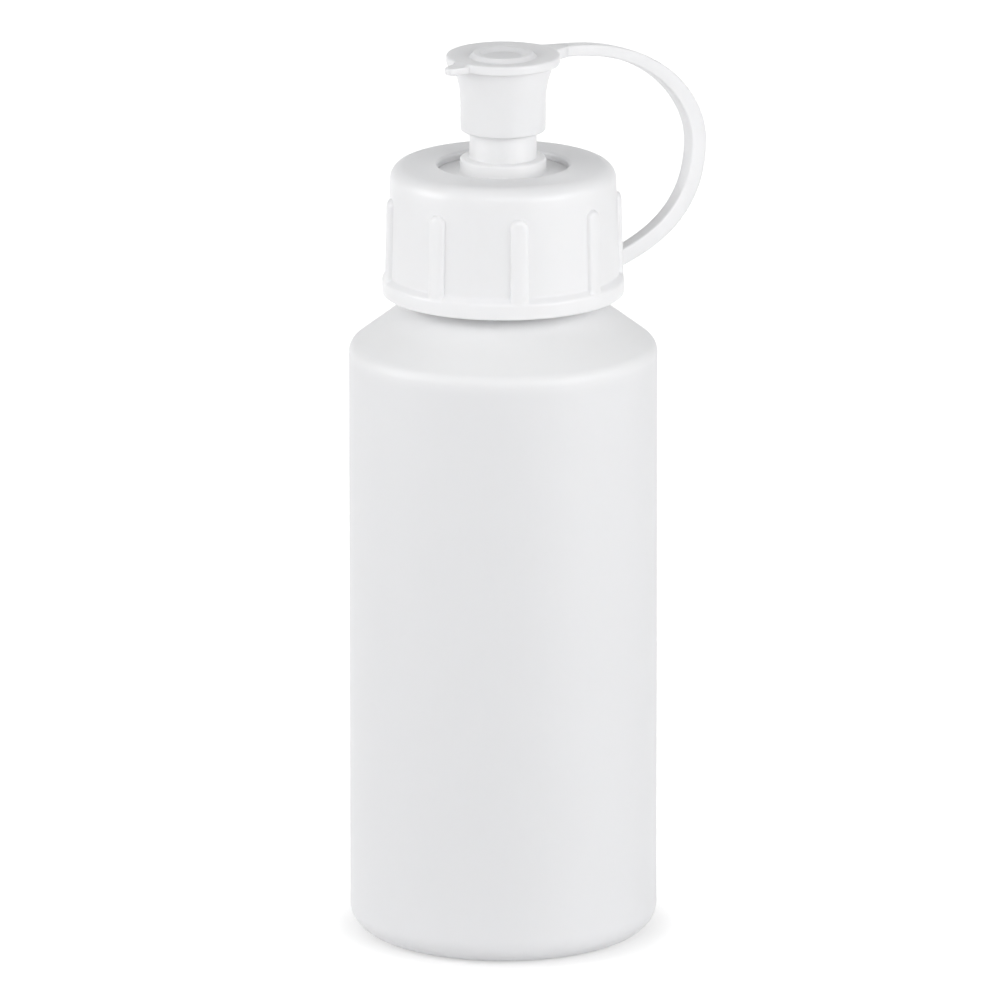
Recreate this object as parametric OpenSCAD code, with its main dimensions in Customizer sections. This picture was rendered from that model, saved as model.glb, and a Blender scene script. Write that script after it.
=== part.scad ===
// Pharmacy bottle with a screw cap, a spout and a tethered closure.
// The origin is on the bottle's axis at the plane it stands on, and +Z points up.
// The tether strap lies in the XZ plane, on the +X side.

/* [Bottle] */
// Outside radius of the bottle
bottle_r = 22.5; // [18:0.5:30]
// Wall thickness of the bottle
bottle_wall = 1.1; // [0.8:0.1:1.8]
// Height at which the side wall would meet the shoulder's slope
shoulder_z = 88; // [60:1:120]
// Slope of the shoulder above the horizontal, in degrees
shoulder_slope = 37; // [25:1:50]
// Radius of the round between side wall and shoulder
shoulder_round = 3.2; // [2:0.1:5]
// Width of the rounded heel, measured along the radius
heel_w = 5; // [3:0.1:6]
// Height of the rounded heel
heel_h = 4.2; // [2.5:0.1:6]
// Width of the flat ring that the bottle stands on
foot_w = 1.6; // [1:0.1:3]
// Depth of the dished base inside the standing ring
dish_d = 1.2; // [0.5:0.1:2]
// Thickness of the bottle's base
base_t = 1.4; // [1:0.1:2.5]

/* [Neck] */
// Outside radius of the neck, below the crests of its thread
neck_r = 12.4; // [11:0.1:13]
// Wall thickness of the neck
neck_wall = 2; // [1.4:0.1:3]
// Height of the neck, from the ledge round its foot to its lip
neck_h = 18; // [16:0.1:24]
// Width of the narrow ledge between the shoulder's slope and the neck
ledge_w = 0.9; // [0.8:0.1:3]
// Radius of the round between ledge and neck
neck_root_round = 0.5; // [0.2:0.1:0.5]

/* [Screw cap] */
// Outside radius of the cap's wall at its top
cap_r = 16.45; // [15:0.05:18]
// Radius by which the cap's wall spreads from its top to its skirt
cap_draft = 0.4; // [0:0.05:0.6]
// Height of the cap
cap_h = 19.2; // [16:0.1:24]
// Thickness of the cap's top wall
cap_top_t = 1.2; // [0.8:0.1:2]
// Inside radius of the cap, outside the crests of the neck's thread
cap_bore_r = 14.3; // [13.6:0.1:14.8]
// Radius of the round round the cap's top edge
cap_round = 2.3; // [0.5:0.1:2.6]
// Radius of the hole in the cap's top, round the spout
cap_hole_r = 9.55; // [8:0.05:11]
// Outside radius of the skirt flange
skirt_r = 17.65; // [17.2:0.05:19]
// Height of the skirt flange's upright side
skirt_h = 2.2; // [1:0.1:3]
// Height of the slope above the flange's side
skirt_slope_h = 0.8; // [0.6:0.1:2]
// Radius of the round between the flange's side and its slope
skirt_round = 0.8; // [0.2:0.1:0.8]

/* [Grip ribs] */
// Number of grip ribs round the cap
rib_count = 8; // [6:1:12]
// Angle left free of ribs where the strap is rooted, in degrees
rib_free_angle = 59; // [40:1:80]
// Turn of the rib pattern against the strap's plane, in degrees
rib_turn = -2.7; // [-10:0.1:10]
// Radius of the rounded front of one rib
rib_r = 1.25; // [1:0.05:2]
// How far a rib stands proud of the cap's wall
rib_proud = 0.65; // [0.3:0.05:0.8]
// Height of the ribs above the cap's bottom edge
rib_top = 14.7; // [12:0.1:16]

/* [Spout insert] */
// Radius of the insert's flange, which lies on the neck's lip
insert_flange_r = 13; // [12:0.1:13.4]
// Thickness of the insert's flange
insert_flange_t = 1.2; // [0.8:0.1:1.8]
// Length of the plug skirt that goes down into the neck
plug_h = 6; // [4:0.5:9]
// Wall thickness of the plug skirt
plug_wall = 1.1; // [0.8:0.1:1.6]
// Radius of the collar at the spout's foot
collar_r = 6.3; // [5.8:0.1:7.5]
// Height of the collar above the flange
collar_h = 2.2; // [1:0.1:4]
// Outside radius of the spout
spout_r = 4.9; // [4:0.1:5.5]
// Wall thickness of the spout
spout_wall = 1.4; // [0.8:0.1:2]
// Height of the spout's straight part above the collar
spout_h = 10; // [8:0.1:14]
// Height of the spout's coned tip
tip_h = 2.2; // [1.5:0.1:3]
// Outside radius of the tip at its end
tip_r = 2.7; // [2.2:0.1:3.2]
// Radius of the outlet in the tip
outlet_r = 1.25; // [0.8:0.05:1.6]

/* [Closure] */
// Gap between the collar and the closure's lower edge
closure_gap = 4.05; // [2:0.05:6]
// Outside radius of the closure's barrel
barrel_r = 6.25; // [5.8:0.05:7.5]
// Height of the closure's barrel below its disc
barrel_h = 9.8; // [8:0.1:14]
// Height of the outward sweep under the disc
sweep_h = 5.8; // [3:0.1:7]
// Radius of the arc that forms the outward sweep
sweep_r = 14.5; // [10:0.5:20]
// Radius of the disc on top of the closure
disc_r = 8.3; // [7:0.1:10]
// Thickness of the disc
disc_t = 1.45; // [1:0.05:2]
// Width of the disc's level rim
rim_w = 0.7; // [0.5:0.05:1.5]
// Depth to which the disc's top is dished between its rim and the ring
disc_dish = 0.4; // [0.1:0.05:0.5]
// Outside radius of the raised ring on the disc, at its foot
ring_r = 4.85; // [4:0.05:5.5]
// Inward lean of the ring's outer face
ring_lean = 0.5; // [0.2:0.05:0.8]
// Width of the ring's crest
ring_w = 0.65; // [0.5:0.05:1]
// Height of the ring's crest above the disc's rim
ring_h = 0.3; // [0.1:0.05:0.8]
// Radius of the dimple's floor inside the ring
dimple_r = 2.8; // [2:0.1:3.2]
// Depth of the dimple's floor below the disc's rim
dimple_d = 0.15; // [0.05:0.05:0.4]
// Thickness of the closure's top over the spout
closure_top_t = 1.5; // [1.2:0.1:1.6]
// Depth to which the sealing pin plugs the outlet
pin_depth = 0.9; // [0.4:0.1:1]
// Reach of the thumb tab from the axis
tab_reach = 10.9; // [10.4:0.1:13]
// Width of the thumb tab
tab_w = 3.4; // [3:0.1:6]
// Radius of the thumb tab's rounded corners
tab_round = 1.2; // [0.5:0.1:1.4]
// Turn of the thumb tab against the strap's plane, in degrees
tab_turn = 5.5; // [-10:0.5:10]
// Thickness of the thumb tab
tab_t = 1; // [0.8:0.05:1.2]

/* [Tether strap] */
// Width of the strap across its plane
strap_w = 2.25; // [1.5:0.05:3]
// Thickness of the strap where it leaves the closure
strap_top_t = 1.7; // [1.2:0.05:2.2]
// Thickness of the strap at its outermost bend
strap_mid_t = 2.75; // [2:0.05:3.2]
// Thickness of the strap at its root on the cap
strap_root_t = 2.4; // [1.8:0.05:3]
// Distance from the axis to the strap's upper end
strap_start_x = 11; // [10:0.1:13]
// How far the strap's upper face lies below the top of the disc
strap_drop = 0.15; // [0:0.05:0.5]
// Fall of the strap where it leaves the closure, in degrees
strap_fall = 3; // [0:1:10]
// Distance from the axis to the outermost point of the strap's centre line
strap_reach = 35.2; // [32:0.1:38]
// Height of that outermost point above the cap's bottom edge
strap_bend_h = 17.7; // [14:0.1:22]
// Climb of the strap where it leaves the cap, in degrees
strap_climb = 20; // [10:1:35]
// Distance from the skirt flange to the strap's lower end
strap_root_gap = 0.7; // [0.5:0.1:1.5]
// Width of the strap's tongue where it leaves the disc
tongue_w = 4.2; // [3:0.1:6]

/* [Fits] */
// Radial clearance between plug skirt and neck
plug_fit = 0.05; // [0.02:0.01:0.1]
// Radial clearance between spout and closure
closure_fit = 0.08; // [0.02:0.01:0.1]
// Clearance between the tip and the inside of the closure
tip_gap = 0.35; // [0.2:0.05:0.6]
// Radial clearance between the sealing pin and the outlet
pin_fit = 0.08; // [0.02:0.01:0.1]

/* [Hidden] */

// Segments in one rounded corner
corner_steps = 8;
// Segments in one bend of the strap
bend_steps = 14;
// Overlap that makes cuts and joins sure
eps = 0.01;
// Length by which a cut runs past the face that it opens
past = 1;
// Height below the spout's shoulder at which its channel begins to narrow
channel_neck_h = 1;
// Length by which a piece is sunk into the one that carries it
sunk = 1;
// Radius of the bends in the blown bottle's wall
blown_round = 0.8;
// Radius of the round on the neck's lip and the plug's lower edge
lip_round = 0.5;
// Radius of the soft edges on the moulded pieces
soft_round = 0.4;
// Radius of the crisp edges on the moulded pieces
edge_round = 0.2;
// Width of the lead-in round the mouth of the closure's socket
socket_lead = 0.3;
// Pull of the strap's bends, as shares of the spans that they bridge
upper_pull = 0.7;
upper_bend_pull = 0.36;
lower_bend_pull = 0.78;
root_pull_share = 0.29;
$fn = 96;

// Places along the axis, each worked out from the piece below it
slope_rise = tan(shoulder_slope);
ledge_r = neck_r + ledge_w;
ledge_z = shoulder_z + (bottle_r - ledge_r) * slope_rise;
lip_z = ledge_z + neck_h;
flange_z = lip_z + insert_flange_t;
cap_top_z = flange_z + cap_top_t;
cap_z = cap_top_z - cap_h;
collar_z = flange_z + collar_h;
spout_z = collar_z + spout_h;
tip_z = spout_z + tip_h;
barrel_z = collar_z + closure_gap;
disc_z = barrel_z + barrel_h;
disc_top_z = disc_z + disc_t;
ceiling_z = disc_top_z - closure_top_t;
strap_top_z = disc_top_z - strap_drop;

// Radii that follow from a wall or a fit
bottle_in_r = bottle_r - bottle_wall;
neck_in_r = neck_r - neck_wall;
plug_r = neck_in_r - plug_fit;
spout_in_r = spout_r - spout_wall;
socket_r = spout_r + closure_fit;
pin_r = outlet_r - pin_fit;
foot_r = bottle_r - heel_w;
skirt_top_r = cap_r + cap_draft;

// Point on a circle round c
function on_circle(c, r, a) = [c[0] + r * cos(a), c[1] + r * sin(a)];

// Points of an arc round c, from angle a to angle b
function arc(c, r, a, b, n) = [for (i = [0:n]) on_circle(c, r, a + (b - a) * i / n)];

// Points of an oval arc with half axes rx and ry
function oval(c, rx, ry, a, b, n) =
    [for (i = [0:n]) let (t = a + (b - a) * i / n) [c[0] + rx * cos(t), c[1] + ry * sin(t)]];

// Signed turn from angle a to angle b, between -180 and 180 degrees
function turn(a, b) = let (d = b - a) d > 180 ? d - 360 : d < -180 ? d + 360 : d;

// Arc of radius r that rounds the corner at p, between its neighbours a and b
function rounded_corner(a, p, b, r) =
    let (
        to_a = (a - p) / norm(a - p),
        to_b = (b - p) / norm(b - p),
        half = acos(to_a * to_b) / 2,
        middle = (to_a + to_b) / norm(to_a + to_b),
        c = p + middle * r / sin(half),
        from = p + to_a * r / tan(half) - c,
        to = p + to_b * r / tan(half) - c,
        first = atan2(from[1], from[0]),
        sweep = turn(first, atan2(to[1], to[0]))
    ) arc(c, r, first, first + sweep, corner_steps);

// Outline through corners [x, y, radius], where a radius of 0 keeps the corner sharp
function rounded(corners) =
    let (n = len(corners), at = [for (c = corners) [c[0], c[1]]])
    [for (i = [0:n - 1])
        each corners[i][2] > 0
            ? rounded_corner(at[(i + n - 1) % n], at[i], at[(i + 1) % n], corners[i][2])
            : [at[i]]];

// Solid of revolution from a half section of [radius, height] points
module turned(section) {
    rotate_extrude() polygon(section);
}

// Outside of the blown bottle, with its neck closed
module bottle_outside() {
    wall_and_neck = rounded([
        [0, heel_h, 0],
        [bottle_r, heel_h, 0],
        [bottle_r, shoulder_z, shoulder_round],
        [ledge_r, ledge_z, blown_round],
        [neck_r, ledge_z, neck_root_round],
        [neck_r, lip_z, lip_round],
        [0, lip_z, 0],
    ]);
    turned(wall_and_neck);
    heel = concat(
        [[0, heel_h + eps], [0, 0]],
        oval([foot_r, heel_h], heel_w, heel_h, -90, 0, 2 * corner_steps),
        [[bottle_r, heel_h + eps]]
    );
    turned(heel);
}

// Hollow of the bottle, parallel to the outside, and the neck's bore
module bottle_inside() {
    slope_in_z = shoulder_z - bottle_wall * (1 - sin(shoulder_slope)) / cos(shoulder_slope);
    ledge_in_z = ledge_z - bottle_wall;
    slope_end_r = bottle_in_r - (ledge_in_z - slope_in_z) / slope_rise;
    hollow = rounded([
        [0, base_t + dish_d, 0],
        [foot_r - foot_w - dish_d, base_t + dish_d, blown_round],
        [foot_r - foot_w, base_t, blown_round],
        [bottle_in_r, base_t, heel_h - bottle_wall],
        [bottle_in_r, slope_in_z, shoulder_round - bottle_wall],
        [slope_end_r, ledge_in_z, blown_round],
        [neck_in_r, ledge_in_z, blown_round],
        [neck_in_r, lip_z + eps, 0],
        [0, lip_z + eps, 0],
    ]);
    turned(hollow);
}

// Dish pressed up into the base, inside the standing ring
module base_dish() {
    turned(rounded([
        [0, -past, 0],
        [foot_r - foot_w, -past, 0],
        [foot_r - foot_w, 0, 0],
        [foot_r - foot_w - dish_d, dish_d, blown_round],
        [0, dish_d, 0],
    ]));
}

module bottle() {
    color("whitesmoke") difference() {
        bottle_outside();
        bottle_inside();
        base_dish();
    }
}

// Spout insert: flange on the neck's lip, plug skirt below, collar and spout above
module nozzle_insert() {
    plug_z = lip_z - plug_h;
    outside = rounded([
        [0, plug_z, 0],
        [plug_r, plug_z, lip_round],
        [plug_r, lip_z, 0],
        [insert_flange_r, lip_z, 0],
        [insert_flange_r, flange_z, edge_round],
        [collar_r, flange_z, edge_round],
        [collar_r, collar_z, soft_round],
        [spout_r, collar_z, edge_round],
        [spout_r, spout_z, soft_round],
        [tip_r, tip_z, soft_round],
        [0, tip_z, 0],
    ]);
    channel = rounded([
        [0, plug_z - past, 0],
        [plug_r - plug_wall, plug_z - past, 0],
        [plug_r - plug_wall, lip_z, soft_round],
        [spout_in_r, lip_z, soft_round],
        [spout_in_r, spout_z - channel_neck_h, 0],
        [outlet_r, spout_z + tip_h / 2, 0],
        [outlet_r, tip_z + past, 0],
        [0, tip_z + past, 0],
    ]);
    color("white") difference() {
        turned(outside);
        turned(channel);
    }
}

// One grip rib, a round bar sunk into the cap's wall, with a domed top
module grip_rib() {
    foot_x = skirt_top_r + rib_proud - rib_r;
    foot_z = cap_z + skirt_h;
    dome_rise = sqrt(rib_r * rib_r - pow(rib_r - rib_proud, 2));
    dome_z = cap_z + rib_top - dome_rise;
    lean = atan(cap_draft / (cap_top_z - foot_z - skirt_slope_h));
    translate([foot_x, 0, foot_z]) rotate([0, -lean, 0]) {
        cylinder(r = rib_r, h = dome_z - foot_z);
        translate([0, 0, dome_z - foot_z]) sphere(r = rib_r);
    }
}

// Small pad on the skirt flange that the strap runs into
module strap_root_pad() {
    pad_x = skirt_r + strap_root_gap;
    inner_x = skirt_r - sunk;
    translate([inner_x, -strap_w / 2, cap_z]) cube([pad_x - inner_x, strap_w, strap_root_t]);
}

module screw_cap() {
    slope_z = cap_z + skirt_h;
    shell = rounded([
        [0, cap_z, 0],
        [skirt_r, cap_z, edge_round],
        [skirt_r, slope_z, skirt_round],
        [skirt_top_r, slope_z + skirt_slope_h, soft_round],
        [cap_r, cap_top_z, cap_round],
        [0, cap_top_z, 0],
    ]);
    hollow = rounded([
        [0, cap_z - past, 0],
        [cap_bore_r, cap_z - past, 0],
        [cap_bore_r, flange_z, lip_round],
        [0, flange_z, 0],
    ]);
    rib_step = (360 - rib_free_angle) / (rib_count - 1);
    color("white") difference() {
        union() {
            turned(shell);
            for (i = [0:rib_count - 1])
                rotate([0, 0, rib_turn + rib_free_angle / 2 + i * rib_step]) grip_rib();
            strap_root_pad();
        }
        turned(hollow);
        translate([0, 0, flange_z - past]) cylinder(r = cap_hole_r, h = cap_top_t + 2 * past);
    }
}

// Tab for the thumb, on the side away from the strap
module thumb_tab() {
    tab_z = disc_top_z - tab_t;
    inner_x = disc_r - sunk;
    rotate([0, 0, tab_turn]) translate([0, 0, tab_z]) linear_extrude(tab_t)
        polygon(rounded([
            [-inner_x, -tab_w / 2, 0],
            [-tab_reach, -tab_w / 2, tab_round],
            [-tab_reach, tab_w / 2, tab_round],
            [-inner_x, tab_w / 2, 0],
        ]));
}

// Tongue that narrows from the disc to the width of the strap
module strap_tongue() {
    inner_x = disc_r - sunk;
    translate([0, 0, strap_top_z - strap_top_t]) linear_extrude(strap_top_t)
        polygon([
            [inner_x, -tongue_w / 2],
            [strap_start_x, -strap_w / 2],
            [strap_start_x, strap_w / 2],
            [inner_x, tongue_w / 2],
        ]);
}

module closure_cap() {
    flare_z = disc_z - sweep_h;
    flare_angle = asin(sweep_h / sweep_r);
    crest_r = ring_r - ring_lean;
    crest_z = disc_top_z + ring_h;
    barrel = rounded([
        [0, barrel_z, 0],
        [barrel_r, barrel_z, soft_round],
        [barrel_r, flare_z, 0],
        [0, flare_z, 0],
    ]);
    flare = concat(
        [[0, flare_z - eps], [barrel_r, flare_z - eps]],
        arc([barrel_r + sweep_r, flare_z], sweep_r, 180, 180 - flare_angle, corner_steps),
        [[0, disc_z]]
    );
    crown = rounded([
        [0, disc_z - eps, 0],
        [disc_r, disc_z - eps, edge_round],
        [disc_r, disc_top_z, edge_round],
        [disc_r - rim_w, disc_top_z, 0],
        [ring_r, disc_top_z - disc_dish, 0],
        [crest_r, crest_z, edge_round],
        [crest_r - ring_w, crest_z, edge_round],
        [dimple_r, disc_top_z - dimple_d, 0],
        [0, disc_top_z - dimple_d, 0],
    ]);
    socket = rounded([
        [0, barrel_z - past, 0],
        [socket_r + socket_lead, barrel_z - past, 0],
        [socket_r + socket_lead, barrel_z, 0],
        [socket_r, barrel_z + 2 * socket_lead, 0],
        [socket_r, spout_z + tip_gap, 0],
        [tip_r + tip_gap, tip_z + tip_gap, 0],
        [tip_r + tip_gap, ceiling_z, edge_round],
        [0, ceiling_z, 0],
    ]);
    pin_z = tip_z - pin_depth;
    color("white") {
        difference() {
            union() {
                turned(barrel);
                turned(flare);
                turned(crown);
                thumb_tab();
                strap_tongue();
            }
            turned(socket);
        }
        translate([0, 0, pin_z]) cylinder(r = pin_r, h = ceiling_z + eps - pin_z);
    }
}

// Point on a cubic curve with end points a and d and handles b and c
function cubic(a, b, c, d, t) =
    pow(1 - t, 3) * a + 3 * pow(1 - t, 2) * t * b + 3 * (1 - t) * t * t * c + pow(t, 3) * d;

// Smooth step from 0 to 1
function eased(t) = t * t * (3 - 2 * t);

// Tether strap, a flat band bent in the XZ plane from the closure to the cap's skirt
module tether_strap() {
    start = [strap_start_x, strap_top_z - strap_top_t / 2];
    bend = [strap_reach, cap_z + strap_bend_h];
    root = [skirt_r + strap_root_gap, cap_z + strap_root_t / 2];
    start_pull = upper_pull * (bend[0] - start[0]);
    bend_pull_up = upper_bend_pull * (start[1] - bend[1]);
    bend_pull_down = lower_bend_pull * (bend[1] - root[1]);
    root_pull = root_pull_share * (bend[0] - root[0]);
    start_handle = start + start_pull * [cos(strap_fall), -sin(strap_fall)];
    root_handle = root + root_pull * [cos(strap_climb), sin(strap_climb)];
    upper = [for (i = [0:bend_steps])
        cubic(start, start_handle, bend + [0, bend_pull_up], bend, i / bend_steps)];
    lower = [for (i = [1:bend_steps])
        cubic(bend, bend - [0, bend_pull_down], root_handle, root, i / bend_steps)];
    middle = concat(upper, lower);
    last = len(middle) - 1;
    half_t = [for (i = [0:last])
        let (t = i / bend_steps)
        (t < 1
            ? strap_top_t + (strap_mid_t - strap_top_t) * eased(t)
            : strap_mid_t + (strap_root_t - strap_mid_t) * eased(t - 1)) / 2];
    across = [for (i = [0:last])
        i == 0 ? [0, 1]
        : i == last ? [0, -1]
        : let (along = middle[i + 1] - middle[i - 1]) [-along[1], along[0]] / norm(along)];
    outer_side = [for (i = [0:last]) middle[i] + half_t[i] * across[i]];
    inner_side = [for (i = [last:-1:0]) middle[i] - half_t[i] * across[i]];
    color("white") translate([0, strap_w / 2, 0]) rotate([90, 0, 0])
        linear_extrude(strap_w) polygon(concat(outer_side, inner_side));
}

bottle();
nozzle_insert();
screw_cap();
closure_cap();
tether_strap();
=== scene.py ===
"""Looks of a white pharmacy bottle: ribbed screw cap, spout, and a closure on a tether strap.

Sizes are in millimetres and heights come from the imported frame. The strap lies in the XZ plane,
on the +X side.
"""

import math

import bmesh
import bpy
import numpy as np
from mathutils import Matrix, Vector, noise


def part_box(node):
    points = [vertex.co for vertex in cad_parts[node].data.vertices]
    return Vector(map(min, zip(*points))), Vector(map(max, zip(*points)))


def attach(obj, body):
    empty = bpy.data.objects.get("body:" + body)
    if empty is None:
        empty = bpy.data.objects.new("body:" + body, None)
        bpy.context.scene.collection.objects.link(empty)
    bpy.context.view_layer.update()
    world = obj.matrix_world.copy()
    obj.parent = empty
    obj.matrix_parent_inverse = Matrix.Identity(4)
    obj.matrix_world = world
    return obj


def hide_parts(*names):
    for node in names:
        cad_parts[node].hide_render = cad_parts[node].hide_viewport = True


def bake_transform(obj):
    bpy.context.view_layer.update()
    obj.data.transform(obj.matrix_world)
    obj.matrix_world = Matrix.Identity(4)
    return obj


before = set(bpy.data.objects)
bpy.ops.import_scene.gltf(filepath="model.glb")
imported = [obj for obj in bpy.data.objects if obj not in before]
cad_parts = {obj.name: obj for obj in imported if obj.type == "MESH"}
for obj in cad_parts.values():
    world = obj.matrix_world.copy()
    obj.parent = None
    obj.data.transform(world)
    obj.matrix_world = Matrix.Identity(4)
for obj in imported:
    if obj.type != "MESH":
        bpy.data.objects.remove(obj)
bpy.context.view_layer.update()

MM = 0.001


def height_span(node):
    """Lowest and highest point of a CAD node, in millimetres."""
    low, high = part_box(node)
    return low.z / MM, high.z / MM


# Heights and outer radii that the frame gives
_, LIP_Z = height_span("bottle")
CAP_Z, CAP_TOP_Z = height_span("screw_cap")
PLUG_Z, TIP_Z = height_span("nozzle_insert")
BARREL_Z, RING_TOP_Z = height_span("closure_cap")
BOTTLE_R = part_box("bottle")[1].y / MM

# Bottle
BOTTLE_WALL = 1.1
SHOULDER_Z = 88.3
SHOULDER_SLOPE = 37
SHOULDER_ROUND = 2.2
HEEL_W, HEEL_H = 5, 4.2
FOOT_W = 1.6
DISH_D = 1.2
BASE_T = 1.4
NECK_R, NECK_WALL = 12.4, 2
LEDGE_W = 0.9
NECK_ROOT_ROUND = 0.5
BLOWN_ROUND, LIP_ROUND, FOOT_EDGE_ROUND, INNER_FOOT_ROUND = 0.8, 0.5, 0.3, 0.6
WAVER, WAVER_LENGTH, WAVER_FADE, WAVER_ABOVE = 0.03, 30, 8, 4
BOTTLE_SIDES, BOTTLE_STEP, HEEL_STEPS = 256, 3, 16

# Threads
PITCH = 3.5
THREAD_CREST_R = 13.7
CAP_THREAD_CREST_R = 12.9
THREAD_TURNS, THREAD_DROP, THREAD_SUNK = 1.75, 8.2, 0.3
THREAD_ROOT_W, THREAD_CREST_W = 2, 0.8
THREAD_STEPS, THREAD_FADE_STEPS, THREAD_END_SHARE = 72, 9, 0.02

# Screw cap
CAP_R, CAP_DRAFT, CAP_ROUND = 16.45, 0.4, 2.3
CAP_BORE_R, CAP_HOLE_R, HOLE_ROUND = 14.3, 9.55, 0.5
SKIRT_R, SKIRT_H, SKIRT_SLOPE_H, SKIRT_ROUND = 17.65, 2.2, 0.8, 0.8
RIB_COUNT, RIB_FREE_ANGLE, RIB_TURN = 8, 59, -3.4
RIB_HALF_W, RIB_PROUD, RIB_TOP, RIB_SQUARENESS, RIB_BLEND = 1.25, 0.7, 14.7, 2.6, 0.16
RIB_TOP_ZONE, RIB_TOP_STEP, RIB_TOP_MARGIN = 2.4, 0.1, 0.4
WALL_STEP, WALL_BAND = 0.8, 0.2
CAP_SIDES, CAP_SEAT_GAP = 960, 0.02

# Spout insert
INSERT_FLANGE_R, INSERT_FLANGE_T = 13, 1.2
PLUG_WALL, PLUG_FIT = 1.1, 0.05
COLLAR_R, COLLAR_H = 6.3, 2.2
SPOUT_R, SPOUT_WALL, SPOUT_H = 4.9, 1.4, 10
TIP_H, TIP_R, OUTLET_R = 2.2, 2.7, 1.25
INSERT_SIDES = 160

# Closure
BARREL_R = 6.25
DISC_R, DISC_T, RIM_W, DISC_DISH = 8.3, 1.45, 0.7, 0.4
SWEEP_H, SWEEP_R = 5.8, 14.5
RING_R, RING_LEAN, RING_W, RING_H = 4.85, 0.55, 0.75, 0.3
PIT_R, PIT_D = 2.6, 0.25
CLOSURE_TOP_T, CLOSURE_FIT, TIP_GAP = 1.5, 0.08, 0.35
PIN_FIT, PIN_DEPTH = 0.08, 0.9
TAB_REACH, TAB_W, TAB_DROP, TAB_TURN = 11.1, 3.4, 0.4, 5.5
TAB_SQUARENESS, TAB_BLEND = 3, 1.1
TONGUE_W, TONGUE_BLEND, TONGUE_PAST = 4.2, 0.7, 0.4
CLOSURE_EDGE, EDGE_INSET, SIDE_BLEND = 0.32, 0.6, 0.8
RIM_SHARES, DROP_INSET, DROP_LENGTH = (0.15, 0.3, 0.45, 0.6, 0.8), 0.3, 0.9

# Angles in degrees between the corners of the closure's plan: fine near the tab and the tongue
PLAN_NEAR, PLAN_FINE, PLAN_COARSE = 30, 0.5, 2

# Tether strap
STRAP_W, STRAP_TOP_T, STRAP_MID_T, STRAP_ROOT_T = 2.25, 1.7, 2.75, 2.4
STRAP_START_X, STRAP_DROP, STRAP_FALL = 11, 0.15, 3
STRAP_REACH, STRAP_BEND_H, STRAP_CLIMB = 35.2, 17.7, 20
STRAP_ROOT_GAP, STRAP_ROUND, STRAP_STEPS = 0.7, 0.3, 48
PAD_PAST, PAD_SUNK, PAD_ROUND, PAD_EDGE = 0.3, 1, 0.3, 0.2
UPPER_PULL, UPPER_BEND_PULL, LOWER_BEND_PULL, ROOT_PULL = 0.7, 0.36, 0.78, 0.29

# Plastics. The subsurface scale is in metres. From just below its shoulder up, the bottle's colour is
# whiter: painted light that brightens the shoulder slope and lightens the shade under the cap's flange
PAINTED_SHOULDER_LIGHT, PAINTED_LIGHT_BELOW, PAINTED_LIGHT_ABOVE = (0.98, 0.98, 0.985), 3, 2.5
MOTTLE_SCALE, MOTTLE_DETAIL, MOTTLE_DARKEST, GLOSS_SPREAD = 60, 3, 0.985, 0.04
GRAIN_DETAIL, GRAIN_STRENGTH = 4, 0.5
REFRACTION, SPECULAR = 1.5, 0.5
SUBSURFACE_RADIUS, SUBSURFACE_SCALE = (1.0, 0.97, 0.94), 0.0025

# Studio, in metres. The floor looks white to the camera, because it gives off light of its own.
# It gives less close to the object, where the shadow lies
FLOOR_SIZE, FLOOR_WHITE, FLOOR_SEEN = 16, 0.85, 0.5
FLOOR_LIFT, FLOOR_NEAR, FLOOR_FAR = 0.5, 0.018, 0.034
WORLD_COLOUR, WORLD_LIGHT = (0.98, 0.99, 1, 1), 0.11
LAMP_AWAY, LAMP_AIM_Z = 1, 0.07

# Name, bearing and rise in degrees, width, height, watts, and whether glossy surfaces mirror it
SOFTBOXES = (
    ("left_softbox", -80, 15, 0.7, 0.6, 4.85, True),
    ("right_softbox", 50, 15, 0.7, 0.6, 4.3, True),
    ("right_side_softbox", 85, 15, 0.7, 0.6, 1.5, True),
    ("left_top_softbox", -60, 50, 0.8, 0.8, 1.05, True),
    ("front_softbox", 0, 30, 0.9, 0.4, 2.6, True),
    ("top_softbox", 0, 88, 0.8, 0.8, 0.7, True),
    ("back_softbox", 180, 5, 0.8, 0.5, 1.5, False),
)

# Camera, worked out from the photograph's 1000 pixel frame
CAMERA_AZIMUTH, CAMERA_TILT, CAMERA_ROLL = -37, 14.645, -0.03
CAMERA_AWAY, CAMERA_SIDE, CAMERA_Z = 2683.6, -0.476, 766.02
FOCAL_PX, FRAME_PX, SENSOR_W = 19000, 1000, 36

# Heights that follow
LEDGE_R = NECK_R + LEDGE_W
LEDGE_Z = SHOULDER_Z + (BOTTLE_R - LEDGE_R) * math.tan(math.radians(SHOULDER_SLOPE))
FLANGE_Z = LIP_Z + INSERT_FLANGE_T
COLLAR_Z = FLANGE_Z + COLLAR_H
SPOUT_Z = COLLAR_Z + SPOUT_H
DISC_TOP_Z = RING_TOP_Z - RING_H
DISC_Z = DISC_TOP_Z - DISC_T
CEILING_Z = DISC_TOP_Z - CLOSURE_TOP_T
STRAP_TOP_Z = DISC_TOP_Z - STRAP_DROP
SKIRT_TOP_R = CAP_R + CAP_DRAFT


def arc(centre, radius, first, last, steps):
    """Points of an arc between two angles in degrees."""
    turns = np.radians(np.linspace(first, last, steps + 1))
    return [(centre[0] + radius * math.cos(t), centre[1] + radius * math.sin(t)) for t in turns]


def oval(centre, half_w, half_h, first, last, steps):
    """Points of an oval arc between two angles in degrees."""
    turns = np.radians(np.linspace(first, last, steps + 1))
    return [(centre[0] + half_w * math.cos(t), centre[1] + half_h * math.sin(t)) for t in turns]


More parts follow.
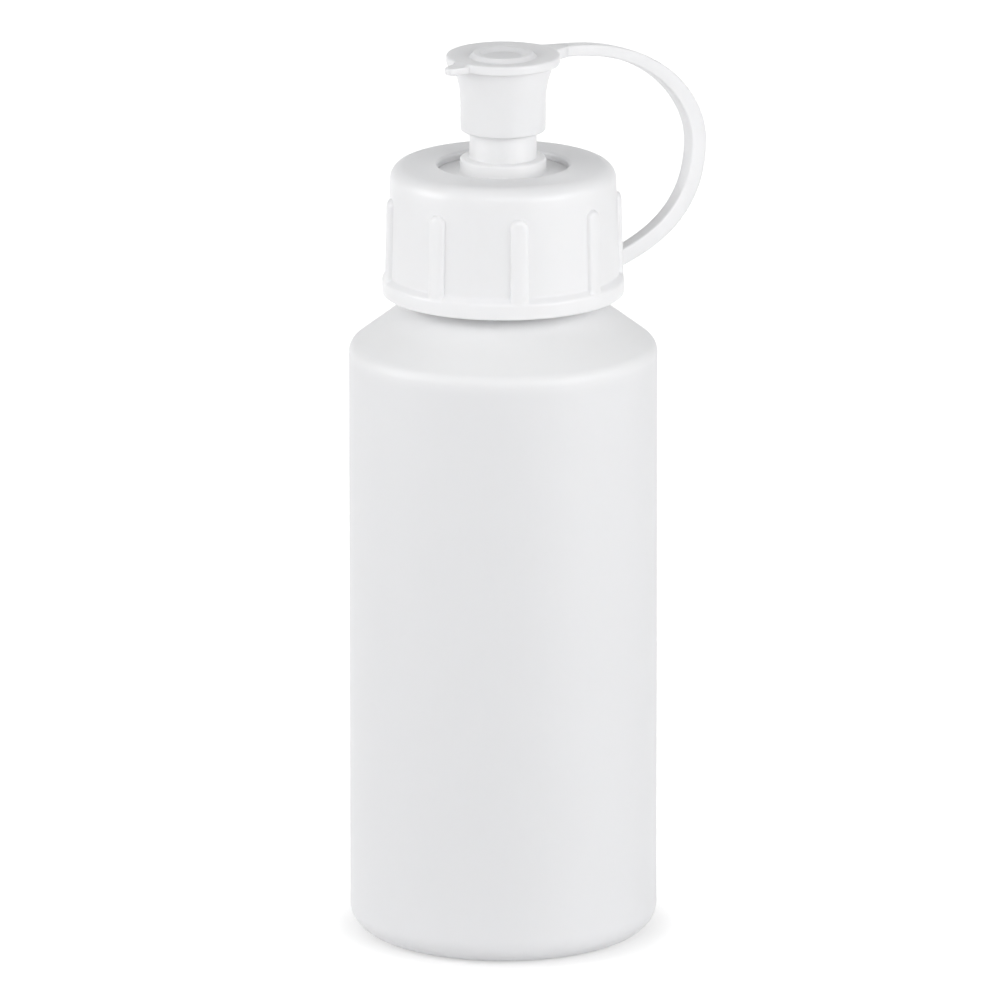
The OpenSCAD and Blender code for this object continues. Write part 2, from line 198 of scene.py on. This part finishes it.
def rounded(corners, steps=10):
    """Open or closed outline through (x, y, radius) corners. The end corners stay sharp."""
    points = []
    for i, (x, y, radius) in enumerate(corners):
        here = np.array([x, y], float)
        if radius == 0 or i in (0, len(corners) - 1):
            points.append(tuple(here))
            continue
        to_a = np.array(corners[i - 1][:2], float) - here
        to_b = np.array(corners[i + 1][:2], float) - here
        to_a /= np.linalg.norm(to_a)
        to_b /= np.linalg.norm(to_b)
        half = math.acos(max(-1, min(1, float(to_a @ to_b)))) / 2
        middle = (to_a + to_b) / np.linalg.norm(to_a + to_b)
        centre = here + middle * radius / math.sin(half)
        start = here + to_a * radius / math.tan(half) - centre
        end = here + to_b * radius / math.tan(half) - centre
        first = math.degrees(math.atan2(start[1], start[0]))
        sweep = math.degrees(math.atan2(end[1], end[0])) - first
        sweep = (sweep + 180) % 360 - 180
        points += arc(centre, radius, first, first + sweep, steps)
    return points


def divided(outline, longest):
    """The outline with every long stretch cut into steps no longer than longest."""
    points = [outline[0]]
    for a, b in zip(outline, outline[1:]):
        steps = max(1, math.ceil(math.dist(a, b) / longest))
        start, way = np.array(a), np.array(b) - np.array(a)
        points += [tuple(start + way * k / steps) for k in range(1, steps + 1)]
    return points


def smooth_max(a, b, width):
    """The larger of a and b, with a soft change between them."""
    h = np.maximum(width - np.abs(a - b), 0) / width
    return np.maximum(a, b) + h * h * width / 4


def eased(t):
    """Smooth step from 0 to 1."""
    t = np.clip(t, 0, 1)
    return t * t * (3 - 2 * t)


def ring_at(radius, z, angles):
    """A ring of points in millimetres; radius and z may vary with the angle."""
    return np.stack([radius * np.cos(angles), radius * np.sin(angles), z + 0 * angles], axis=1)


def skinned(name, rings, sharp=35, loop=False):
    """A closed mesh through rings of equal length. A ring that is only a point becomes a pole."""
    vertices, rows = [], []
    for ring in rings:
        pole = np.ptp(ring, axis=0).max() < 1e-6
        first = len(vertices)
        if pole:
            vertices.append(ring[0])
            rows.append([first] * len(ring))
        else:
            vertices += list(ring)
            rows.append(list(range(first, first + len(ring))))
    faces = []
    pairs = list(zip(rows, rows[1:])) + ([(rows[-1], rows[0])] if loop else [])
    for low, high in pairs:
        count = len(low)
        for i in range(count):
            j = (i + 1) % count
            corners = [low[i], low[j], high[j], high[i]]
            corners = list(dict.fromkeys(corners))
            if len(corners) > 2:
                faces.append(corners)
    mesh = bpy.data.meshes.new(name)
    mesh.from_pydata([Vector(v) * MM for v in vertices], [], faces)
    tidy = bmesh.new()
    tidy.from_mesh(mesh)
    bmesh.ops.recalc_face_normals(tidy, faces=tidy.faces)
    tidy.to_mesh(mesh)
    tidy.free()
    mesh.shade_smooth()
    mesh.set_sharp_from_angle(angle=math.radians(sharp))
    piece = bpy.data.objects.new(name, mesh)
    bpy.context.scene.collection.objects.link(piece)
    return piece


def even_angles(count):
    """Angles round a full turn, in radians."""
    return np.arange(count) * 2 * math.pi / count


def bottle_outline():
    """Half section of the bottle, from the middle of its base up, over the lip and back inside."""
    foot_r = BOTTLE_R - HEEL_W
    in_r = BOTTLE_R - BOTTLE_WALL
    slope = math.radians(SHOULDER_SLOPE)
    slope_in_z = SHOULDER_Z - BOTTLE_WALL * (1 - math.sin(slope)) / math.cos(slope)
    ledge_in_z = LEDGE_Z - BOTTLE_WALL
    slope_end_r = in_r - (ledge_in_z - slope_in_z) / math.tan(slope)
    neck_in_r = NECK_R - NECK_WALL
    base = rounded([
        (0, DISH_D, 0),
        (foot_r - FOOT_W - DISH_D, DISH_D, BLOWN_ROUND),
        (foot_r - FOOT_W, 0, FOOT_EDGE_ROUND),
        (foot_r, 0, 0),
    ])
    heel = oval((foot_r, HEEL_H), HEEL_W, HEEL_H, -90, 0, HEEL_STEPS)
    side = rounded([
        (BOTTLE_R, HEEL_H, 0),
        (BOTTLE_R, SHOULDER_Z, SHOULDER_ROUND),
        (LEDGE_R, LEDGE_Z, BLOWN_ROUND),
        (NECK_R, LEDGE_Z, NECK_ROOT_ROUND),
        (NECK_R, LIP_Z, LIP_ROUND),
        (neck_in_r, LIP_Z, LIP_ROUND),
        (neck_in_r, ledge_in_z, BLOWN_ROUND),
        (slope_end_r, ledge_in_z, BLOWN_ROUND),
        (in_r, slope_in_z, SHOULDER_ROUND - BOTTLE_WALL),
        (in_r, BASE_T, HEEL_H - BOTTLE_WALL),
        (foot_r - FOOT_W, BASE_T, INNER_FOOT_ROUND),
        (foot_r - FOOT_W - DISH_D, BASE_T + DISH_D, BLOWN_ROUND),
        (0, BASE_T + DISH_D, 0),
    ])
    return base[:-1] + heel[:-1] + side


def make_bottle():
    """The bottle, with the faint unevenness that blowing leaves in its side wall."""
    angles = even_angles(BOTTLE_SIDES)
    rings = []
    for r, z in divided(bottle_outline(), BOTTLE_STEP):
        fade = eased((z - HEEL_H) / WAVER_FADE) * eased((SHOULDER_Z + WAVER_ABOVE - z) / WAVER_FADE)
        if fade > 0 and r > NECK_R + NECK_WALL:
            places = [Vector((math.cos(a), math.sin(a), 0)) * BOTTLE_R for a in angles]
            shifts = [noise.noise((p + Vector((0, 0, z))) / WAVER_LENGTH) for p in places]
            rings.append(ring_at(r + WAVER * fade * np.array(shifts), z, angles))
        else:
            rings.append(ring_at(r, z, angles))
    return skinned("bottle_shell", rings)


def make_thread(name, root_r, crest_r, start_z):
    """A right-hand thread ridge that fades out at both ends."""
    steps = int(THREAD_TURNS * THREAD_STEPS)
    rings = []
    for i in range(steps + 1):
        angle = 2 * math.pi * THREAD_TURNS * i / steps
        z = start_z + PITCH * THREAD_TURNS * i / steps
        grown = float(eased(min(i, steps - i) / THREAD_FADE_STEPS))
        share = grown * (1 - THREAD_END_SHARE) + THREAD_END_SHARE
        section = [
            (root_r, -THREAD_ROOT_W / 2 * share),
            (root_r + (crest_r - root_r) * share, -THREAD_CREST_W / 2 * share),
            (root_r + (crest_r - root_r) * share, THREAD_CREST_W / 2 * share),
            (root_r, THREAD_ROOT_W / 2 * share),
        ]
        rings.append(np.array([
            (r * math.cos(angle), r * math.sin(angle), z + h) for r, h in section]))
    ends = [np.tile(rings[k].mean(axis=0), (len(section), 1)) for k in (0, -1)]
    return skinned(name, [ends[0]] + rings + [ends[1]], sharp=30)


def rib_lift(angles, z):
    """How far the ribs lift the cap's wall at a height, for each angle."""
    free = math.radians(RIB_FREE_ANGLE)
    step = (2 * math.pi - free) / (RIB_COUNT - 1)
    dome_z = CAP_Z + RIB_TOP - RIB_HALF_W
    lift = np.full(len(angles), -np.inf)
    for k in range(RIB_COUNT):
        middle = math.radians(RIB_TURN) + free / 2 + k * step
        off = (angles - middle + math.pi) % (2 * math.pi) - math.pi
        across = np.hypot(CAP_R * off, max(0, z - dome_z)) / RIB_HALF_W
        round_front = RIB_PROUD * np.maximum(1 - across**RIB_SQUARENESS, 0) ** (1 / RIB_SQUARENESS)
        lift = np.maximum(lift, np.where(across < 1, round_front, 1 - across))
    return lift


def make_screw_cap():
    """The screw cap: rounded top with its hole, drafted wall with ribs, skirt flange and bore."""
    slope_z = CAP_Z + SKIRT_H
    wall_foot_z = slope_z + SKIRT_SLOPE_H
    seat_z = FLANGE_Z + CAP_SEAT_GAP
    angles = even_angles(CAP_SIDES)
    top = rounded([
        (CAP_HOLE_R, seat_z, 0),
        (CAP_HOLE_R, CAP_TOP_Z, HOLE_ROUND),
        (CAP_R, CAP_TOP_Z, CAP_ROUND),
        (SKIRT_TOP_R, wall_foot_z, 0),
    ])
    # The skirt's outline starts a little way up the wall, which lets its first corner be rounded
    skirt = rounded([
        (SKIRT_TOP_R + 0.02, wall_foot_z + 0.6, 0),
        (SKIRT_TOP_R, wall_foot_z, 0.5),
        (SKIRT_R, slope_z, SKIRT_ROUND),
        (SKIRT_R, CAP_Z, 0.25),
        (CAP_BORE_R, CAP_Z, 0.3),
        (CAP_BORE_R, seat_z, 0.5),
        (CAP_HOLE_R, seat_z, 0),
    ])
    outline = top[:-1] + skirt[:-1]
    wall_top = CAP_Z + RIB_TOP + RIB_TOP_MARGIN
    wall_least_r = CAP_R - WALL_BAND
    dense = []
    for a, b in zip(outline, outline[1:] + outline[:1]):
        on_wall = min(a[0], b[0]) > wall_least_r and slope_z < b[1] < a[1]
        dense.append(a)
        if on_wall and a[1] - b[1] > WALL_STEP / 2:
            fine = np.arange(wall_top, wall_top - RIB_TOP_ZONE, -RIB_TOP_STEP)
            edges = [z for z in fine if b[1] < z < a[1]]
            low = min(edges, default=a[1])
            edges += list(np.arange(low - WALL_STEP, b[1], -WALL_STEP))
            dense += [(a[0] + (b[0] - a[0]) * (a[1] - z) / (a[1] - b[1]), z) for z in edges]
    rings = []
    for r, z in dense:
        if r > wall_least_r and slope_z < z < wall_top:
            wall_r = SKIRT_TOP_R - CAP_DRAFT * (z - wall_foot_z) / (CAP_TOP_Z - wall_foot_z)
            ribbed = wall_r + rib_lift(angles, z)
            r = smooth_max(np.full(len(angles), float(r)), ribbed, RIB_BLEND)
        rings.append(ring_at(r, z, angles))
    return skinned("screw_cap_shell", rings, loop=True)


def make_root_pad():
    """The small pad on the skirt flange that the strap runs into."""
    far_x = SKIRT_R + STRAP_ROOT_GAP + PAD_PAST
    near_x = CAP_BORE_R + PAD_SUNK
    half = STRAP_W / 2
    plan = np.array(rounded([
        (near_x, 0, 0),
        (near_x, half, 0),
        (far_x, half, PAD_ROUND),
        (far_x, -half, PAD_ROUND),
        (near_x, -half, 0),
        (near_x, 0, 0),
    ], steps=5)[:-1])
    middle = plan.mean(axis=0)
    top = STRAP_ROOT_T
    rings = []
    for share, z in ((0, 0), (0.9, 0), (1, PAD_EDGE), (1, top - PAD_EDGE), (0.9, top), (0, top)):
        shape = middle + (plan - middle) * share
        rings.append(np.column_stack([shape, np.full(len(shape), CAP_Z + z)]))
    return skinned("strap_root_pad", rings)


def make_insert():
    """The spout insert: plug skirt, flange, collar and spout with a channel through it."""
    plug_r = NECK_R - NECK_WALL - PLUG_FIT
    spout_in_r = SPOUT_R - SPOUT_WALL
    outline = rounded([
        (OUTLET_R, SPOUT_Z + TIP_H / 2, 0),
        (spout_in_r, SPOUT_Z - 1, 0.4),
        (spout_in_r, LIP_Z, 0.4),
        (plug_r - PLUG_WALL, LIP_Z, 0.5),
        (plug_r - PLUG_WALL, PLUG_Z, 0.3),
        (plug_r, PLUG_Z, 0.5),
        (plug_r, LIP_Z, 0),
        (INSERT_FLANGE_R, LIP_Z, 0.15),
        (INSERT_FLANGE_R, FLANGE_Z, 0.2),
        (COLLAR_R, FLANGE_Z, 0.25),
        (COLLAR_R, COLLAR_Z, 0.4),
        (SPOUT_R, COLLAR_Z, 0.2),
        (SPOUT_R, SPOUT_Z, 0.4),
        (TIP_R, TIP_Z, 0.4),
        (OUTLET_R, TIP_Z, 0.2),
        (OUTLET_R, SPOUT_Z + TIP_H / 2, 0),
    ])[:-1]
    angles = even_angles(INSERT_SIDES)
    return skinned("spout_insert", [ring_at(r, z, angles) for r, z in outline], loop=True)


def closure_plan():
    """Outline of the closure from above, with its thumb tab and strap tongue, as angles and radii."""
    half_tab = TAB_W / 2
    tongue_half, strap_half = TONGUE_W / 2, STRAP_W / 2
    near, far = PLAN_NEAR, 180 - PLAN_NEAR
    angles = np.radians(np.concatenate([
        np.arange(-180, -far, PLAN_FINE),
        np.arange(-far, -near, PLAN_COARSE),
        np.arange(-near, near, PLAN_FINE),
        np.arange(near, far, PLAN_COARSE),
        np.arange(far, 180, PLAN_FINE),
    ]))
    radii = np.full(len(angles), DISC_R)
    tab_off = (angles - math.radians(180 + TAB_TURN) + math.pi) % (2 * math.pi) - math.pi
    for i, (a, t) in enumerate(zip(angles, tab_off)):
        if abs(t) < math.pi / 4:
            x, y = math.cos(t), abs(math.sin(t))
            side = half_tab / max(y, 1e-6)
            n = TAB_SQUARENESS
            end = TAB_REACH / (x**n + (y * TAB_REACH / half_tab) ** n) ** (1 / n)
            radii[i] = float(smooth_max(DISC_R, min(side, end), TAB_BLEND))
        elif abs(a) < math.pi / 4:
            x, y = math.cos(a), abs(math.sin(a))
            reach = STRAP_START_X + TONGUE_PAST
            taper = (tongue_half - strap_half) / (STRAP_START_X - DISC_R)
            side = (tongue_half + taper * DISC_R) / (y + taper * x)
            radii[i] = float(smooth_max(DISC_R, min(side, reach / x), TONGUE_BLEND))
    return angles, radii


def make_closure():
    """The closure: barrel that sweeps out into a disc, ring with a pit, tab, tongue, socket and pin."""
    angles, plan = closure_plan()
    beyond = np.maximum(plan - DISC_R, 0)
    to_tab = eased(beyond / SIDE_BLEND) * (np.cos(angles) < 0)
    to_tongue = eased(beyond / SIDE_BLEND) * (np.cos(angles) > 0)
    flare_z = DISC_Z - SWEEP_H
    drop = STRAP_DROP * to_tongue + TAB_DROP * to_tab
    top_z = DISC_TOP_Z - drop
    under_z = DISC_Z * (1 - to_tongue) + (STRAP_TOP_Z - STRAP_TOP_T) * to_tongue
    crown = rounded([
        (0, DISC_TOP_Z - PIT_D, 0),
        (PIT_R, DISC_TOP_Z - PIT_D, 0.35),
        (RING_R - RING_LEAN - RING_W, RING_TOP_Z, 0.3),
        (RING_R - RING_LEAN, RING_TOP_Z, 0.3),
        (RING_R, DISC_TOP_Z - DISC_DISH, 0.2),
        (DISC_R - RIM_W, DISC_TOP_Z, 0),
    ], steps=8)
    rings = [ring_at(r, z, angles) for r, z in crown]
    rim_start = DISC_R - RIM_W
    for share in RIM_SHARES:
        r = rim_start + (plan - EDGE_INSET - rim_start) * share
        lowered = drop * eased((r - DISC_R + DROP_INSET) / DROP_LENGTH)
        rings.append(ring_at(r, DISC_TOP_Z - lowered, angles))
    edge = CLOSURE_EDGE
    rings += [ring_at(plan - inset, top_z, angles) for inset in (EDGE_INSET, EDGE_INSET * 3 / 4)]
    for x, y in arc((0, 0), edge, 80, 0, 7):
        rings.append(ring_at(plan - edge + x, top_z - edge + y, angles))
    for x, y in arc((0, 0), edge, 0, -80, 5):
        rings.append(ring_at(plan - edge + x, under_z + edge + y, angles))
    flare_angle = math.degrees(math.asin(SWEEP_H / SWEEP_R))
    flare = arc((BARREL_R + SWEEP_R, flare_z), SWEEP_R, 180 - flare_angle, 180, 12)
    rings.append(ring_at(np.maximum(plan - EDGE_INSET, flare[0][0] + 0.1), under_z, angles))
    socket_r = SPOUT_R + CLOSURE_FIT
    pin_r = OUTLET_R - PIN_FIT
    pin_z = TIP_Z - PIN_DEPTH
    inner = rounded([
        (BARREL_R, flare_z - 0.5, 0),
        (BARREL_R, BARREL_Z, 0.35),
        (socket_r, BARREL_Z, 0.25),
        (socket_r, SPOUT_Z + TIP_GAP, 0.3),
        (TIP_R + TIP_GAP, TIP_Z + TIP_GAP, 0.3),
        (TIP_R + TIP_GAP, CEILING_Z, 0.3),
        (pin_r, CEILING_Z, 0.2),
        (pin_r, pin_z, 0.3),
        (0, pin_z, 0),
    ])
    rings += [ring_at(r, z, angles) for r, z in flare + inner]
    return skinned("closure_shell", rings)


def cubic(a, b, c, d, t):
    """Point on a cubic curve with end points a and d and handles b and c."""
    return (1 - t) ** 3 * a + 3 * (1 - t) ** 2 * t * b + 3 * (1 - t) * t**2 * c + t**3 * d


def make_strap():
    """The tether strap: a flat band with soft edges, swept from the closure round to the cap."""
    root_x = SKIRT_R + STRAP_ROOT_GAP
    start = np.array([STRAP_START_X, STRAP_TOP_Z - STRAP_TOP_T / 2])
    bend = np.array([STRAP_REACH, CAP_Z + STRAP_BEND_H])
    root = np.array([root_x, CAP_Z + STRAP_ROOT_T / 2])
    fall, climb = math.radians(STRAP_FALL), math.radians(STRAP_CLIMB)
    from_start = np.array([math.cos(fall), -math.sin(fall)])
    from_root = np.array([math.cos(climb), math.sin(climb)])
    start_handle = start + UPPER_PULL * (bend[0] - start[0]) * from_start
    root_handle = root + ROOT_PULL * (bend[0] - root[0]) * from_root
    up = np.array([0, UPPER_BEND_PULL * (start[1] - bend[1])])
    down = np.array([0, LOWER_BEND_PULL * (bend[1] - root[1])])
    middle, half_t = [], []
    for i in range(2 * STRAP_STEPS + 1):
        t = i / STRAP_STEPS
        if t < 1:
            middle.append(cubic(start, start_handle, bend + up, bend, t))
            thick = STRAP_TOP_T + (STRAP_MID_T - STRAP_TOP_T) * eased(t)
        else:
            middle.append(cubic(bend, bend - down, root_handle, root, t - 1))
            thick = STRAP_MID_T + (STRAP_ROOT_T - STRAP_MID_T) * eased(t - 1)
        half_t.append(float(thick) / 2)
    middle = np.array(middle)
    along = np.gradient(middle, axis=0)
    along /= np.linalg.norm(along, axis=1)[:, None]
    rings = []
    w = STRAP_W / 2
    for centre, direction, t in zip(middle, along, half_t):
        across = np.array([-direction[1], direction[0]])
        corners = [(-w, -t), (w, -t), (w, t), (-w, t)]
        soft_corners = [(x, y, STRAP_ROUND) for x, y in corners[1:] + corners[:1]]
        section = rounded([(0, -t, 0)] + soft_corners + [(0, -t, 0)], steps=4)[:-1]
        rings.append(np.array([
            (centre[0] + across[0] * y, x, centre[1] + across[1] * y) for x, y in section]))
    caps = [np.tile(rings[k].mean(axis=0), (len(rings[0]), 1)) for k in (0, -1)]
    return skinned("tether_band", [caps[0]] + rings + [caps[1]])


def plastic(name, colour, roughness, grain, grain_height, streaks, subsurface, shoulder_light=None):
    """A moulded plastic: soft mottling in colour and gloss, and a fine surface grain.

    The grain's height is in metres, and streaks below 1 draw the grain out upward. A shoulder light
    colour, when given, whitens the bottle from its shoulder up as painted light.
    """
    material = bpy.data.materials.new(name)
    material.use_nodes = True
    nodes, links = material.node_tree.nodes, material.node_tree.links
    shader = nodes["Principled BSDF"]
    place = nodes.new("ShaderNodeTexCoord")
    cloudy = nodes.new("ShaderNodeTexNoise")
    cloudy.inputs["Scale"].default_value = MOTTLE_SCALE
    cloudy.inputs["Detail"].default_value = MOTTLE_DETAIL
    links.new(place.outputs["Object"], cloudy.inputs["Vector"])
    tint = nodes.new("ShaderNodeMapRange")
    tint.inputs["To Min"].default_value = MOTTLE_DARKEST
    tint.inputs["To Max"].default_value = 1.0
    links.new(cloudy.outputs["Fac"], tint.inputs["Value"])
    base = nodes.new("ShaderNodeMix")
    base.data_type = "RGBA"
    base.blend_type = "MULTIPLY"
    base.inputs["Factor"].default_value = 1
    base.inputs["A"].default_value = (*colour, 1)
    # A whiter colour from the shoulder up paints light on the bottle's shoulder slope and under the cap
    if shoulder_light:
        links.new(painted_shoulder_light(nodes, links, place, colour, shoulder_light), base.inputs["A"])
    links.new(tint.outputs["Result"], base.inputs["B"])
    links.new(base.outputs["Result"], shader.inputs["Base Color"])
    gloss = nodes.new("ShaderNodeMapRange")
    gloss.inputs["To Min"].default_value = roughness - GLOSS_SPREAD
    gloss.inputs["To Max"].default_value = roughness + GLOSS_SPREAD
    links.new(cloudy.outputs["Fac"], gloss.inputs["Value"])
    links.new(gloss.outputs["Result"], shader.inputs["Roughness"])
    stretch = nodes.new("ShaderNodeMapping")
    stretch.inputs["Scale"].default_value = (1, 1, streaks)
    links.new(place.outputs["Object"], stretch.inputs["Vector"])
    fine = nodes.new("ShaderNodeTexNoise")
    fine.inputs["Scale"].default_value = grain
    fine.inputs["Detail"].default_value = GRAIN_DETAIL
    links.new(stretch.outputs["Vector"], fine.inputs["Vector"])
    bump = nodes.new("ShaderNodeBump")
    bump.inputs["Strength"].default_value = GRAIN_STRENGTH
    bump.inputs["Distance"].default_value = grain_height
    links.new(fine.outputs["Fac"], bump.inputs["Height"])
    links.new(bump.outputs["Normal"], shader.inputs["Normal"])
    shader.inputs["IOR"].default_value = REFRACTION
    shader.inputs["Specular IOR Level"].default_value = SPECULAR
    shader.inputs["Subsurface Weight"].default_value = subsurface
    shader.inputs["Subsurface Radius"].default_value = SUBSURFACE_RADIUS
    shader.inputs["Subsurface Scale"].default_value = SUBSURFACE_SCALE
    return material


def painted_shoulder_light(nodes, links, place, colour, shoulder_light):
    """The bottle's colour by height: whiter from the shoulder up, as painted light on the slope and in
    the shade under the cap.
    """
    parts = nodes.new("ShaderNodeSeparateXYZ")
    links.new(place.outputs["Object"], parts.inputs[0])
    rise = nodes.new("ShaderNodeMapRange")
    rise.interpolation_type = "SMOOTHSTEP"
    rise.inputs["From Min"].default_value = (SHOULDER_Z - PAINTED_LIGHT_BELOW) * MM
    rise.inputs["From Max"].default_value = (SHOULDER_Z + PAINTED_LIGHT_ABOVE) * MM
    links.new(parts.outputs["Z"], rise.inputs["Value"])
    change = nodes.new("ShaderNodeMix")
    change.data_type = "RGBA"
    change.inputs["A"].default_value = (*colour, 1)
    change.inputs["B"].default_value = (*shoulder_light, 1)
    links.new(rise.outputs["Result"], change.inputs["Factor"])
    return change.outputs["Result"]


def dress(piece, body, slot, material, *nodes):
    """Gives a piece its material, and lets it ride on its body in place of CAD nodes."""
    piece.data.materials.clear()
    piece.data.materials.append(material)
    if body:
        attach(piece, body)
    if nodes:
        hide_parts(*nodes)


def make_floor():
    """A pale floor that looks white to the camera and keeps the object's shadow."""
    bpy.ops.mesh.primitive_plane_add(size=FLOOR_SIZE)
    floor = bpy.context.object
    floor.name = "studio_floor"
    material = bpy.data.materials.new("studio_floor")
    material.use_nodes = True
    nodes, links = material.node_tree.nodes, material.node_tree.links
    nodes.clear()
    seen = seen_rays(nodes, links)
    matt = nodes.new("ShaderNodeBsdfDiffuse")
    paleness = nodes.new("ShaderNodeMapRange")
    paleness.inputs["To Min"].default_value = FLOOR_WHITE
    paleness.inputs["To Max"].default_value = FLOOR_SEEN
    links.new(seen, paleness.inputs["Value"])
    links.new(paleness.outputs["Result"], matt.inputs["Color"])
    glow = nodes.new("ShaderNodeEmission")
    place = nodes.new("ShaderNodeTexCoord")
    away = nodes.new("ShaderNodeVectorMath")
    away.operation = "LENGTH"
    links.new(place.outputs["Object"], away.inputs[0])
    fade = nodes.new("ShaderNodeMapRange")
    fade.interpolation_type = "SMOOTHSTEP"
    fade.inputs["From Min"].default_value = FLOOR_NEAR
    fade.inputs["From Max"].default_value = FLOOR_FAR
    fade.inputs["To Min"].default_value = FLOOR_LIFT
    fade.inputs["To Max"].default_value = 1
    links.new(away.outputs["Value"], fade.inputs["Value"])
    shown = nodes.new("ShaderNodeMath")
    shown.operation = "MULTIPLY"
    links.new(seen, shown.inputs[0])
    links.new(fade.outputs["Result"], shown.inputs[1])
    links.new(shown.outputs["Value"], glow.inputs["Strength"])
    both = nodes.new("ShaderNodeAddShader")
    out = nodes.new("ShaderNodeOutputMaterial")
    links.new(matt.outputs["BSDF"], both.inputs[0])
    links.new(glow.outputs["Emission"], both.inputs[1])
    links.new(both.outputs["Shader"], out.inputs["Surface"])
    floor.data.materials.append(material)


def seen_rays(nodes, links):
    """1 for the rays that show the background: camera, glossy and transmission rays."""
    path = nodes.new("ShaderNodeLightPath")
    first = nodes.new("ShaderNodeMath")
    first.operation = "MAXIMUM"
    links.new(path.outputs["Is Camera Ray"], first.inputs[0])
    links.new(path.outputs["Is Glossy Ray"], first.inputs[1])
    second = nodes.new("ShaderNodeMath")
    second.operation = "MAXIMUM"
    links.new(first.outputs["Value"], second.inputs[0])
    links.new(path.outputs["Is Transmission Ray"], second.inputs[1])
    return second.outputs["Value"]


def make_world():
    """Soft even light from all round, white where the camera sees it."""
    world = bpy.data.worlds.new("studio")
    bpy.context.scene.world = world
    world.use_nodes = True
    nodes, links = world.node_tree.nodes, world.node_tree.links
    sky = nodes["Background"]
    sky.inputs["Color"].default_value = WORLD_COLOUR
    shown = nodes.new("ShaderNodeMapRange")
    shown.inputs["To Min"].default_value = WORLD_LIGHT
    shown.inputs["To Max"].default_value = 1
    links.new(seen_rays(nodes, links), shown.inputs["Value"])
    links.new(shown.outputs["Result"], sky.inputs["Strength"])


def softbox(name, bearing, rise, width, height, watts, mirrored):
    """An area lamp that faces the object. Its bearing counts from the camera, to the right."""
    lamp = bpy.data.lights.new(name, "AREA")
    lamp.shape = "RECTANGLE"
    lamp.size, lamp.size_y = width, height
    lamp.energy = watts
    holder = bpy.data.objects.new(name, lamp)
    bpy.context.scene.collection.objects.link(holder)
    turn, lift = math.radians(CAMERA_AZIMUTH + bearing), math.radians(rise)
    level = math.cos(lift)
    back = Vector((math.sin(turn) * level, -math.cos(turn) * level, math.sin(lift)))
    holder.location = Vector((0, 0, LAMP_AIM_Z)) + back * LAMP_AWAY
    holder.rotation_euler = (-back).to_track_quat("-Z", "Y").to_euler()
    holder.visible_camera = False
    holder.visible_glossy = mirrored


def make_camera():
    """The photograph's view: far away with a long lens, a little above the bottle."""
    turn = math.radians(CAMERA_AZIMUTH)
    right = Vector((math.cos(turn), math.sin(turn), 0))
    back = Vector((math.sin(turn), -math.cos(turn), 0))
    data = bpy.data.cameras.new("camera")
    data.sensor_width = SENSOR_W
    data.lens = FOCAL_PX / FRAME_PX * data.sensor_width
    camera = bpy.data.objects.new("camera", data)
    bpy.context.scene.collection.objects.link(camera)
    camera.location = (back * CAMERA_AWAY + right * CAMERA_SIDE + Vector((0, 0, CAMERA_Z))) * MM
    level = Matrix.Rotation(turn, 4, "Z") @ Matrix.Rotation(math.radians(90 - CAMERA_TILT), 4, "X")
    rolled = level @ Matrix.Rotation(math.radians(CAMERA_ROLL), 4, "Z")
    camera.rotation_euler = rolled.to_euler()
    bpy.context.scene.camera = camera


make_camera()
make_world()
make_floor()
for box in SOFTBOXES:
    softbox(*box)

# The bottle's whiter shoulder colour is painted light on its shoulder slope and in the shade under the
# cap
bottle_white = plastic(
    "bottle_plastic", (0.88, 0.88, 0.895), roughness=0.42, grain=900, grain_height=0.00003,
    streaks=0.25, subsurface=0.5, shoulder_light=PAINTED_SHOULDER_LIGHT)
cap_white = plastic(
    "cap_plastic", (0.88, 0.88, 0.89), roughness=0.3, grain=1500, grain_height=0.00001,
    streaks=1, subsurface=0.4)
insert_white = plastic(
    "insert_plastic", (0.9, 0.9, 0.905), roughness=0.34, grain=1500, grain_height=0.00001,
    streaks=1, subsurface=0.4)

bottle_shell = make_bottle()
dress(bottle_shell, "bottle", "bottle_plastic", bottle_white, "bottle")
neck_thread = make_thread("neck_thread", NECK_R - THREAD_SUNK, THREAD_CREST_R, LIP_Z - THREAD_DROP)
dress(neck_thread, "bottle", "bottle_plastic", bottle_white)
spout_insert = make_insert()
dress(spout_insert, "nozzle", "insert_plastic", insert_white, "nozzle_insert")
cap_shell = make_screw_cap()
dress(cap_shell, "cap", "cap_plastic", cap_white, "screw_cap")
cap_thread = make_thread(
    "cap_thread", CAP_BORE_R + THREAD_SUNK, CAP_THREAD_CREST_R, LIP_Z - THREAD_DROP - PITCH / 2)
dress(cap_thread, "cap", "cap_plastic", cap_white)
root_pad = make_root_pad()
dress(root_pad, "cap", "cap_plastic", cap_white)
closure_shell = make_closure()
dress(closure_shell, "closure", "cap_plastic", cap_white, "closure_cap")
tether_band = make_strap()
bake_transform(tether_band)
dress(tether_band, None, "cap_plastic", cap_white, "tether_strap")

bpy.context.scene.view_settings.view_transform = "Standard"
